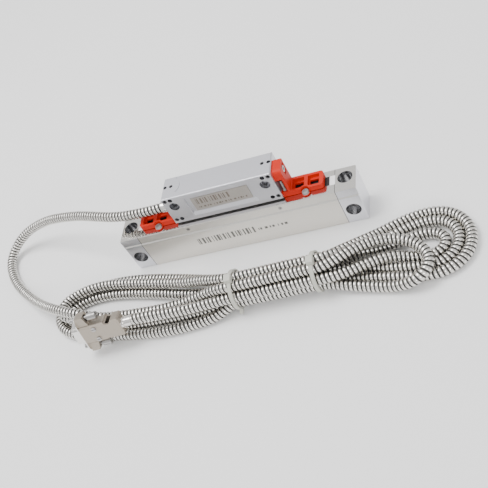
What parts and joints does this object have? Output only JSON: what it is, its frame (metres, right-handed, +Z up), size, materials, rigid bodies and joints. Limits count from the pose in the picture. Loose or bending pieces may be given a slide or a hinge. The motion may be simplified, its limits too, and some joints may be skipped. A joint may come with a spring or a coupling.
{
  "type": "linear glass scale",
  "caption": "Sealed linear glass scale: aluminium profile with end caps, sliding reader head in a lip-sealed slot, transit brackets and armoured cable with a D plug.",
  "frame": {"origin": "middle of the scale body's underside, at half its length and half its depth", "axes": "+X along the scale to the end cap away from the cable, +Y to the back, +Z up through the reader head"},
  "size_m": [0.4075, 0.1401, 0.0614],
  "materials": {
    "body_aluminium": "fine satin, clear anodised extrusion",
    "cap_metal": "bright machined die casting",
    "head_metal": "fine blasted die casting",
    "steel": "bright zinc plated or stainless",
    "scale_glass": "clear polished glass",
    "black_rubber": "matt black",
    "white_plastic": "milky white moulding",
    "label_metal": "satin brown-grey foil",
    "board_green": "solder mask",
    "spring_bronze": "rolled strip",
    "black_plastic": "moulded",
    "lamp_resin": "clear cast resin",
    "orange_plastic": "moulded, slight gloss",
    "bright_nickel": "bright plating",
    "hose_steel": "polished stainless strip, wound",
    "tie_nylon": "natural nylon, slightly translucent",
    "plug_nickel": "champagne nickel plate on a die casting"
  },
  "bodies": {
    "scale": {"profile": "body_aluminium", "cap_right": "cap_metal", "cap_left": "cap_metal", "cap_gaskets": "black_rubber", "cap_screws": "steel", "glass_scale": "scale_glass", "glass_bead": "black_rubber", "lip_front": "black_rubber", "lip_back": "black_rubber", "seal_clamps": "black_rubber", "slot_end_blocks": "white_plastic", "band_screws": "steel", "cable_hank": "hose_steel", "cable_left_loops": "hose_steel", "cable_end": "hose_steel", "cable_tie_left": "tie_nylon", "cable_tie_right": "tie_nylon", "plug_hood_front": "plug_nickel", "plug_hood_back": "plug_nickel", "plug_flange": "bright_nickel", "plug_insert": "black_plastic", "plug_ferrule": "bright_nickel", "plug_hood_screws": "steel"},
    "reader": {"head_housing": "head_metal", "head_base": "head_metal", "head_base_screws": "steel", "head_front_screws": "steel", "head_top_screws": "steel", "label_plate": "label_metal", "head_circuit_board": "board_green", "reader_blade": "steel", "coupling_spring": "spring_bronze", "carriage": "black_plastic", "bearing_pins": "steel", "lamp": "lamp_resin", "reticle": "scale_glass", "sensor_board": "board_green", "bracket_right": "orange_plastic", "bracket_left": "orange_plastic", "bracket_clamp_screws": "steel", "bracket_washers": "steel", "bracket_head_screw": "steel", "bracket_lock_screw": "steel", "cable_gland": "bright_nickel", "cable_run": "hose_steel"},
    "face_bearing_left": {"face_bearing_left": "steel"},
    "face_bearing_right": {"face_bearing_right": "steel"},
    "face_bearing_upper": {"face_bearing_upper": "steel"},
    "edge_bearing_left": {"edge_bearing_left": "steel"},
    "edge_bearing_right": {"edge_bearing_right": "steel"},
    "thumbscrew_upper": {"plug_thumbscrew_upper": "steel"},
    "thumbscrew_lower": {"plug_thumbscrew_lower": "steel"}
  },
  "joints": [
    {"name": "reader_slide", "type": "slide", "parent": "scale", "child": "reader", "axis": [1, 0, 0], "range_m": [-0.023, 0.027], "deforming": ["cable_run"]},
    {"name": "roll_face_left", "type": "hinge", "parent": "reader", "child": "face_bearing_left", "pos_m": [-0.017, -0.00053, 0.01], "axis": [0, 0, 1], "continuous": true},
    {"name": "roll_face_right", "type": "hinge", "parent": "reader", "child": "face_bearing_right", "pos_m": [0.013, -0.00053, 0.01], "axis": [0, 0, 1], "continuous": true},
    {"name": "roll_face_upper", "type": "hinge", "parent": "reader", "child": "face_bearing_upper", "pos_m": [-0.002, -0.00053, 0.016], "axis": [0, 0, 1], "continuous": true},
    {"name": "roll_edge_left", "type": "hinge", "parent": "reader", "child": "edge_bearing_left", "pos_m": [-0.012, 0.003, 0.02153], "axis": [0, 1, 0], "continuous": true},
    {"name": "roll_edge_right", "type": "hinge", "parent": "reader", "child": "edge_bearing_right", "pos_m": [0.008, 0.003, 0.02153], "axis": [0, 1, 0], "continuous": true},
    {"name": "turn_thumbscrew_upper", "type": "hinge", "parent": "scale", "child": "thumbscrew_upper", "pos_m": [-0.10224, -0.07973, 0.03414], "axis": [0.9966, 0.0819, 0], "continuous": true},
    {"name": "turn_thumbscrew_lower", "type": "hinge", "parent": "scale", "child": "thumbscrew_lower", "pos_m": [-0.10176, -0.08567, 0.00986], "axis": [0.9966, 0.0819, 0], "continuous": true}
  ],
  "couplings": [
    {"joint": "roll_face_left", "follows": "reader_slide", "rad_per_m": 400},
    {"joint": "roll_face_right", "follows": "reader_slide", "rad_per_m": 400},
    {"joint": "roll_face_upper", "follows": "reader_slide", "rad_per_m": 400},
    {"joint": "roll_edge_left", "follows": "reader_slide", "rad_per_m": 400},
    {"joint": "roll_edge_right", "follows": "reader_slide", "rad_per_m": 400}
  ]
}
